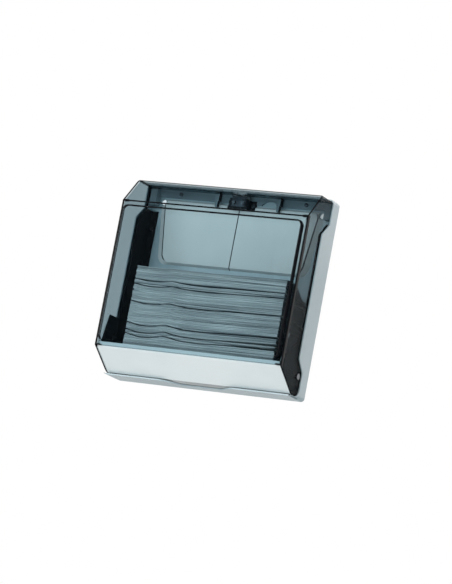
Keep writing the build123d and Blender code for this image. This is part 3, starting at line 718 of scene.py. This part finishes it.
@dataclass
class TowelStack:
    """The folded towels in the dispenser and the sheet that is drawn next.

    Sizes with MM are in metres. The others are drops, depths, heights and
    scatters in millimetres, or shares.
    """

    tissue: bpy.types.Material
    length: float = 238.0 * MM
    shift: float = 10.5 * MM
    rear: float = 8.0 * MM
    front: float = 80.5 * MM
    columns: int = 90
    rows: int = 9
    thickness: float = 1.0 * MM
    fold_round: float = 0.46
    fold_segments: int = 3
    unevenness: float = 0.4
    seam: float = 0.3
    bundles: Sequence[Bundle] = (
        Bundle(1, 131.0, 11, wave=0.35),
        Bundle(2, 150.8, 4, 0.3, 0.95),
        Bundle(3, 158.0, 14, 0.3, 1.1),
        Bundle(4, 182.8, 17, 0.6, 1.35),
        Bundle(5, 214.0, 5, 1.6, 1.55),
        Bundle(6, 223.8, 3, 2.4, 1.65),
        Bundle(7, 229.8, 13, 2.6, 1.7),
    )
    first_seed: int = 40
    wave_heights: Sequence[Span] = (
        (-1.0, 0.2), (-0.93, -1.0), (-0.82, -2.4), (-0.66, -2.2), (-0.55, -0.6), (-0.49, 0.6),
        (-0.40, -0.8), (-0.25, -2.3), (0.0, -2.7), (0.35, -1.6), (1.0, -0.1),
    )
    wave_steps: int = 161
    wave_soft: int = 5
    gap: float = 1.4
    calm_drops: Span = (236.0, 254.0)
    rear_sag: float = 17.0
    sag_depths: Span = (22.0, 48.0)
    end_scatter: Span = (0.35, 0.8)
    fold_scatter: Span = (0.25, 0.5)
    rear_fold_share: float = 0.5
    fold_room: float = 0.8
    end_room: float = 0.9
    ripple: float = 0.14
    ripple_turns: Span = (4.0, 9.0)
    ripple_starts: Span = (0.0, 6.0)
    heave: float = 0.05
    heave_turns: Span = (2.0, 6.0)
    slot_line: Sequence[Span] = ((8.0, 283.9), (32.0, 283.9), (62.0, 265.0))
    funnel: Sequence[Span] = ((8.0, 282.0), (33.0, 281.2), (62.0, 263.0), (80.5, 252.5))
    lead_ply: float = 1.2 * MM
    lead_end_room: float = 0.5
    lead_steps: int = 241
    lead_soft: int = 13
    lead_sways: Sequence[Triple] = ((0.12, 7.0, 0.0), (0.1, 17.0, 1.0))
    pieces: list[bpy.types.Object] = field(default_factory=list)

    def template(self) -> bpy.types.Object:
        """One flat folded towel with round folds, cut into a grid.

        Returns:
            A slab about the origin, as long, wide and thick as one towel.
        """
        slab = Mesher.start("towel_template")
        bpy.ops.object.mode_set(mode="EDIT")
        bpy.ops.mesh.select_all(action="SELECT")
        width = self.front - self.rear
        bpy.ops.transform.resize(value=(self.length, width, self.thickness))
        bpy.ops.mesh.select_mode(type="EDGE")
        Mesher.pick_edges(slab, lambda way: abs(way.x) > ALONG)
        bpy.ops.mesh.bevel(offset=self.fold_round * self.thickness, segments=self.fold_segments)
        Mesher.pick_edges(slab, lambda way: abs(way.y) > ALONG)
        bpy.ops.mesh.subdivide(number_cuts=self.rows)
        Mesher.pick_edges(slab, lambda way: abs(way.x) > ALONG)
        bpy.ops.mesh.subdivide(number_cuts=self.columns)
        bpy.ops.mesh.select_all(action="SELECT")
        bpy.ops.mesh.normals_make_consistent(inside=False)
        bpy.ops.object.mode_set(mode="OBJECT")
        return slab

    def shares(self, grid: np.ndarray) -> tuple[np.ndarray, np.ndarray, np.ndarray]:
        """Where the template's vertices lie on a towel.

        Args:
            grid: Vertices of the template.

        Returns:
            Place along the towel from -1 to 1, from its rear to its front fold
            from 0 to 1, and over its thickness from -0.5 to 0.5.
        """
        across = grid[:, 0] / (self.length / 2)
        forward = grid[:, 1] / (self.front - self.rear) + 0.5
        return across, forward, grid[:, 2] / self.thickness

    def wave(self, across: np.ndarray) -> np.ndarray:
        """Height of the stack's waves along the towels.

        Args:
            across: Place along the towels, -1 at the left end and 1 at the right.

        Returns:
            Millimetres above a straight towel.
        """
        places = np.linspace(-1.0, 1.0, self.wave_steps)
        heights = np.interp(places, *zip(*self.wave_heights))
        return np.interp(across, places, Mesher.smooth(heights, self.wave_soft, mode="edge"))

    def limits(self, bundle: Bundle, depth: np.ndarray) -> tuple[np.ndarray, np.ndarray]:
        """Upper and lower face of a bundle, as drops in millimetres.

        Args:
            bundle: The bundle.
            depth: Distances in front of the wall, in millimetres.

        Returns:
            The drops of the upper and of the lower face.
        """
        upper = np.full_like(depth, bundle.top + self.gap / 2)
        if bundle.number == 1:
            start, end = self.sag_depths
            upper += self.rear_sag * (1 - np.clip((depth - start) / (end - start), 0, 1))
        if bundle.number < len(self.bundles):
            lower = np.full_like(depth, self.bundles[bundle.number].top - self.gap / 2)
        else:
            lower = np.interp(depth, *zip(*self.funnel))
        return upper, lower

    def lay_sheet(
        self, grid: np.ndarray, bundle: Bundle, span: Span, chance: np.random.Generator
    ) -> np.ndarray:
        """Vertices of one towel in its bundle.

        Args:
            grid: Vertices of the template.
            bundle: The bundle that the towel lies in.
            span: Where the towel starts and ends in the bundle, from 0 at its foot to 1.
            chance: Source of the small differences between towels.

        Returns:
            The vertices in their places.
        """
        across, forward, rise = self.shares(grid)
        ends, folds = (
            chance.normal(0.0, scatter, 2).clip(-most, most)
            for scatter, most in (self.end_scatter, self.fold_scatter)
        )
        turns, start = chance.uniform(*self.ripple_turns), chance.uniform(*self.ripple_starts)
        ripple = self.ripple * np.sin(across * turns + start)
        width = (self.front - self.rear) / MM - 2 * self.fold_room
        depth = self.front / MM - self.fold_room + (forward - 1) * width
        depth = depth + folds[0] * forward + folds[1] * (1 - forward) * self.rear_fold_share
        depth = depth + ripple * forward
        upper, lower = self.limits(bundle, depth)
        upper = upper + bundle.right_gap * np.clip(across, 0, 1) ** 2
        room = (lower - upper) * (span[1] - span[0])
        middle = lower - (lower - upper) * (span[0] + span[1]) / 2
        drop = middle - np.clip(rise, -0.5, 0.5) * (room - self.seam)
        calm_top, calm_foot = self.calm_drops
        calm = 1 - np.clip((drop - calm_top) / (calm_foot - calm_top), 0, 1)
        lift = self.wave(across) * bundle.wave * calm
        heave = chance.normal(0, self.heave)
        lift = lift + heave * np.sin(across * chance.uniform(*self.heave_turns)) * calm
        side = self.shift / MM + across * (self.length / 2 / MM - self.end_room)
        side = side + np.where(across > 0, ends[1], ends[0]) * abs(across)
        return np.column_stack((side * MM, -depth * MM, HALF_HEIGHT - (drop - lift) * MM))

    def lay_lead(self, grid: np.ndarray) -> np.ndarray:
        """Vertices of the lowest towel, which bridges the slot.

        Args:
            grid: Vertices of the template.

        Returns:
            The vertices in their places.
        """
        across, forward, rise = self.shares(grid)
        route = np.array(self.slot_line)
        runs = np.r_[0, np.cumsum(np.hypot(*np.diff(route, axis=0).T))]
        steps = np.linspace(0, runs[-1], self.lead_steps)
        line = [
            Mesher.smooth(
                np.interp(steps, runs, column), self.lead_soft, mode="reflect", reflect_type="odd"
            )
            for column in route.T
        ]
        walk = forward * runs[-1]
        depth, drop = (np.interp(walk, steps, values) for values in line)
        slope_depth, slope_drop = (
            np.interp(walk, steps, np.gradient(values, steps)) for values in line
        )
        rise = rise * self.lead_ply / MM
        sway = sum(
            height * np.sin(across * turns + start) for height, turns, start in self.lead_sways
        )
        depth = depth + rise * slope_drop + sway
        drop = drop - rise * slope_depth
        side = self.shift / MM + across * (self.length / 2 / MM - self.lead_end_room)
        return np.column_stack((side * MM, -depth * MM, HALF_HEIGHT - drop * MM))

    def copy_sheet(self, slab: bpy.types.Object, points: np.ndarray, name: str) -> bpy.types.Object:
        """A copy of the template with its own mesh and its own places.

        Args:
            slab: The template.
            points: Places of the vertices.
            name: Name of the copy.

        Returns:
            The copy.
        """
        mesh = slab.data.copy()
        mesh.vertices.foreach_set("co", points.astype(np.float32).ravel())
        made = bpy.data.objects.new(name, mesh)
        bpy.context.collection.objects.link(made)
        return made

    def close_piece(self, piece: bpy.types.Object, node: str) -> None:
        """Dresses a finished piece and ties it to the frame.

        Args:
            piece: The piece.
            node: The CAD node that it stands for.
        """
        piece.data.materials.clear()
        piece.data.materials.append(self.tissue)
        bpy.ops.object.select_all(action="DESELECT")
        piece.select_set(True)
        bpy.context.view_layer.objects.active = piece
        bpy.ops.object.shade_smooth_by_angle(angle=SMOOTH_ANGLE)
        piece.select_set(False)
        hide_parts(node)
        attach(piece, Body.HOUSING.value)
        self.pieces.append(piece)
        log.info("%s stands for %s, %d faces", piece.name, node, len(piece.data.polygons))

    def build(self) -> None:
        """Makes every bundle and the lowest towel."""
        slab = self.template()
        count = len(slab.data.vertices)
        grid = np.empty(count * 3, dtype=np.float32)
        slab.data.vertices.foreach_get("co", grid)
        grid = grid.reshape(count, 3).astype(np.float64)
        for bundle in self.bundles:
            chance = np.random.default_rng(self.first_seed + bundle.number)
            name = f"folded_towels_{bundle.number}"
            weights = np.exp(chance.normal(0.0, self.unevenness, bundle.sheets))
            marks = np.r_[0, np.cumsum(weights)] / weights.sum()
            sheets = [
                self.copy_sheet(slab, self.lay_sheet(grid, bundle, span, chance), name)
                for span in zip(marks[:-1], marks[1:])
            ]
            bpy.ops.object.select_all(action="DESELECT")
            for sheet in sheets:
                sheet.select_set(True)
            bpy.context.view_layer.objects.active = sheets[0]
            bpy.ops.object.join()
            sheets[0].name = name
            self.close_piece(sheets[0], f"towel_bundle_{bundle.number}")
        lead = self.copy_sheet(slab, self.lay_lead(grid), "next_towel")
        self.close_piece(lead, "lead_towel")
        bpy.data.objects.remove(slab)
        log.info("%d pieces of towels", len(self.pieces))


def dress_nodes(body: Body, materials: dict[str, bpy.types.Material]) -> None:
    """Puts materials on CAD nodes.

    Args:
        body: The body that the nodes belong to.
        materials: The material of each node, by the node's name.
    """
    for name, material in materials.items():
        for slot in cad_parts[name].material_slots:
            slot.material = material
        log.info("%s on the %s has %s", name, body.value, material.name)


@dataclass
class Housing:
    """Wall part: tray, raised rear panel, top rail, side brackets and white apron."""

    tray: MouldedPlastic = MouldedPlastic(
        "housing_plastic", (0.40, 0.51, 0.55), (0.35, 0.46, 0.50), 0.38, coat=0.1
    )
    # the panel's groove and crease carry painted shade lines
    panel: MouldedPlastic = MouldedPlastic(
        "panel_plastic", (0.88, 0.89, 0.875), (0.80, 0.83, 0.82), 0.55,
        texture=Grain(900.0), texture_depth=0.00005, groove_x=-2.0 * MM, crease_depth=7.0 * MM,
    )
    # the rail's sideways faces carry painted shade
    rail: MouldedPlastic = MouldedPlastic(
        "rail_plastic", (0.25, 0.32, 0.35), (0.17, 0.22, 0.25), 0.6,
        shine=0.2, flank_shade=(0.006, 0.008, 0.011), flank_reach=130.0 * MM,
    )
    bracket: MouldedPlastic = MouldedPlastic(
        "bracket_plastic", (0.003, 0.0045, 0.006), (0.006, 0.008, 0.011), 0.7,
        shine=0.05, scuffs=0.004,
    )
    # the apron's sideways faces carry painted shade
    apron: MouldedPlastic = MouldedPlastic(
        "apron_plastic", (0.81, 0.885, 0.90), (0.77, 0.855, 0.875), 0.42,
        shine=0.06, scuffs=0.02, flank_shade=(0.006, 0.008, 0.011),
    )

    def dress(self) -> None:
        """Gives each CAD node of the housing its material."""
        bracket = self.bracket.material()
        made = {
            "back_housing": self.tray.material(),
            "rear_panel": self.panel.material(),
            "top_rail": self.rail.material(),
            "side_bracket_left": bracket,
            "side_bracket_right": bracket,
            "front_apron": self.apron.material(),
        }
        dress_nodes(Body.HOUSING, made)


@dataclass
class Cover:
    """Smoked cover with its bushes, and the pins and clips that it turns on."""

    smoke: SmokedPlastic = SmokedPlastic("smoked_sheet")
    nylon: MouldedPlastic = MouldedPlastic("nylon", (0.80, 0.82, 0.80), (0.74, 0.77, 0.75), 0.5)
    steel: BrightSteel = BrightSteel("hinge_steel", (0.10, 0.11, 0.12), (0.05, 0.06, 0.065), 0.34)

    def dress(self) -> None:
        """Gives the cover and its hinge parts their materials."""
        steel, nylon = self.steel.material(), self.nylon.material()
        turning, fixed = {"smoke_cover": self.smoke.material()}, {}
        for side in ("left", "right"):
            turning[f"hinge_bush_{side}"] = nylon
            fixed.update({f"hinge_pin_{side}": steel, f"hinge_clip_{side}": steel})
        dress_nodes(Body.COVER, turning)
        dress_nodes(Body.HOUSING, fixed)


@dataclass
class Latch:
    """Latch body, push button and leaf spring, with the screws of the whole dispenser."""

    block: MouldedPlastic = MouldedPlastic(
        "latch_plastic", (0.008, 0.011, 0.014), (0.012, 0.016, 0.02), 0.6, shine=0.1
    )
    button: MouldedPlastic = MouldedPlastic(
        "button_plastic", (0.78, 0.84, 0.86), (0.70, 0.78, 0.80), 0.3
    )
    leaf: BrightSteel = BrightSteel(
        "spring_steel", (0.03, 0.037, 0.044), (0.02, 0.025, 0.03), 0.34
    )
    screws: BrightSteel = BrightSteel(
        "screw_steel", (0.06, 0.07, 0.08), (0.04, 0.047, 0.055), 0.35,
        Grain(2600.0, 2.0, (1.0, 1.0, 0.1)),
    )
    screw_nodes: Sequence[str] = ("bracket_screws", "rail_screws", "latch_screws", "apron_screws")

    def dress(self) -> None:
        """Gives the latch and the screws their materials."""
        zinc = self.screws.material()
        made = {node: zinc for node in self.screw_nodes}
        made["latch_body"] = self.block.material()
        made["latch_spring"] = self.leaf.material()
        dress_nodes(Body.HOUSING, made)
        dress_nodes(Body.BUTTON, {"latch_button": self.button.material()})


@dataclass(frozen=True)
class Lamp:
    """A soft area lamp that points at the dispenser."""

    name: str
    place: Triple
    size: float
    watts: float

    def hang(self, target: Vector) -> None:
        """Adds the lamp.

        Args:
            target: The point that it faces.
        """
        data = bpy.data.lights.new(self.name, "AREA")
        data.shape = "SQUARE"
        data.size = self.size
        data.energy = self.watts
        lamp = bpy.data.objects.new(self.name, data)
        lamp.location = self.place
        lamp.rotation_euler = (target - lamp.location).to_track_quat("-Z", "Y").to_euler()
        bpy.context.collection.objects.link(lamp)


@dataclass
class Studio:
    """White surroundings, pale floor, soft lamps and the camera of the photograph."""

    azimuth: float = 27.36
    elevation: float = -9.59
    roll: float = 10.71
    distance: float = 4.402
    focal_px: float = 3122.0
    target: Triple = (0.0, -0.0411, -0.0004)
    target_px: Span = (215.26, 286.43)
    image: tuple[int, int] = (452, 584)
    sensor: float = 36.0
    sight: float = 50.0
    floor_height: float = -1.35
    floor_size: float = 9.0
    floor_colours: tuple[Colour, Colour] = ((0.90, 0.90, 0.90), (0.86, 0.86, 0.86))
    floor_grain: Grain = Grain(3.0)
    floor_roughness: float = 0.8
    ambient: float = 0.42
    white_rays: Sequence[str] = ("Is Camera Ray", "Is Glossy Ray", "Is Transmission Ray")
    lamps: Sequence[Lamp] = (
        Lamp("key_lamp", (-1.5, -2.8, 0.9), 1.5, 46.0),
        Lamp("fill_lamp", (2.6, -1.8, 0.2), 1.6, 12.0),
        Lamp("low_lamp", (-0.2, -2.1, -1.2), 1.2, 15.0),
        Lamp("back_lamp", (0.6, 2.4, 1.0), 1.6, 14.0),
    )

    def set_world(self) -> None:
        """Makes the surroundings white to the eye and a little dimmer as a light."""
        world = bpy.data.worlds.new("white_room")
        bpy.context.scene.world = world
        world.use_nodes = True
        graph = Graph(world.node_tree)
        rays = graph.node("ShaderNodeLightPath")
        seen, *others = (Signal(graph, rays.outputs[name]) for name in self.white_rays)
        for other in others:
            seen = seen.most(other)
        strength = self.ambient + seen * (1.0 - self.ambient)
        sky = graph.node("ShaderNodeBackground", None, {"Color": WHITE, "Strength": strength})
        graph.node("ShaderNodeOutputWorld", None, {"Surface": Signal(graph, sky.outputs[0])})

    def lay_floor(self) -> None:
        """Adds the pale floor well below the dispenser."""
        bpy.ops.object.select_all(action="DESELECT")
        bpy.ops.mesh.primitive_plane_add(
            size=self.floor_size, location=(0.0, 0.0, self.floor_height)
        )
        floor = bpy.context.active_object
        floor.name = "studio_floor"
        recipe = Recipe("pale_floor")
        tone = recipe.colour(recipe.grain(self.floor_grain), *self.floor_colours)
        floor.data.materials.append(
            recipe.surface({"Base Color": tone, "Roughness": self.floor_roughness})
        )

    def set_camera(self) -> None:
        """Places the camera where the photograph was taken from."""
        data = bpy.data.cameras.new("photo_camera")
        data.sensor_width = self.sensor
        data.lens = self.focal_px / max(self.image) * self.sensor
        data.shift_x = (self.image[0] / 2 - self.target_px[0]) / max(self.image)
        data.shift_y = (self.target_px[1] - self.image[1] / 2) / max(self.image)
        data.clip_end = self.sight
        camera = bpy.data.objects.new("photo_camera", data)
        bpy.context.collection.objects.link(camera)
        turn, tilt = math.radians(self.azimuth), math.radians(self.elevation)
        away = Vector(
            (math.sin(turn) * math.cos(tilt), -math.cos(turn) * math.cos(tilt), math.sin(tilt))
        )
        camera.location = Vector(self.target) + away * self.distance
        spin = Quaternion((0.0, 0.0, 1.0), math.radians(self.roll))
        camera.rotation_euler = (away.to_track_quat("Z", "Y") @ spin).to_euler()
        bpy.context.scene.camera = camera

    def build(self) -> None:
        """Sets up the whole studio."""
        self.set_world()
        self.lay_floor()
        for lamp in self.lamps:
            lamp.hang(Vector(self.target))
        self.set_camera()
        bpy.context.scene.view_settings.view_transform = "Standard"
        log.info("studio with %d lamps", len(self.lamps))


def main() -> None:
    """Dresses the frame, adds the towels and the studio."""
    logging.basicConfig(level=logging.INFO, format="%(name)s: %(message)s")
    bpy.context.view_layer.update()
    Studio().build()
    Housing().dress()
    Cover().dress()
    Latch().dress()
    TowelStack(Tissue("tissue").material()).build()


if __name__ == "__main__":
    main()
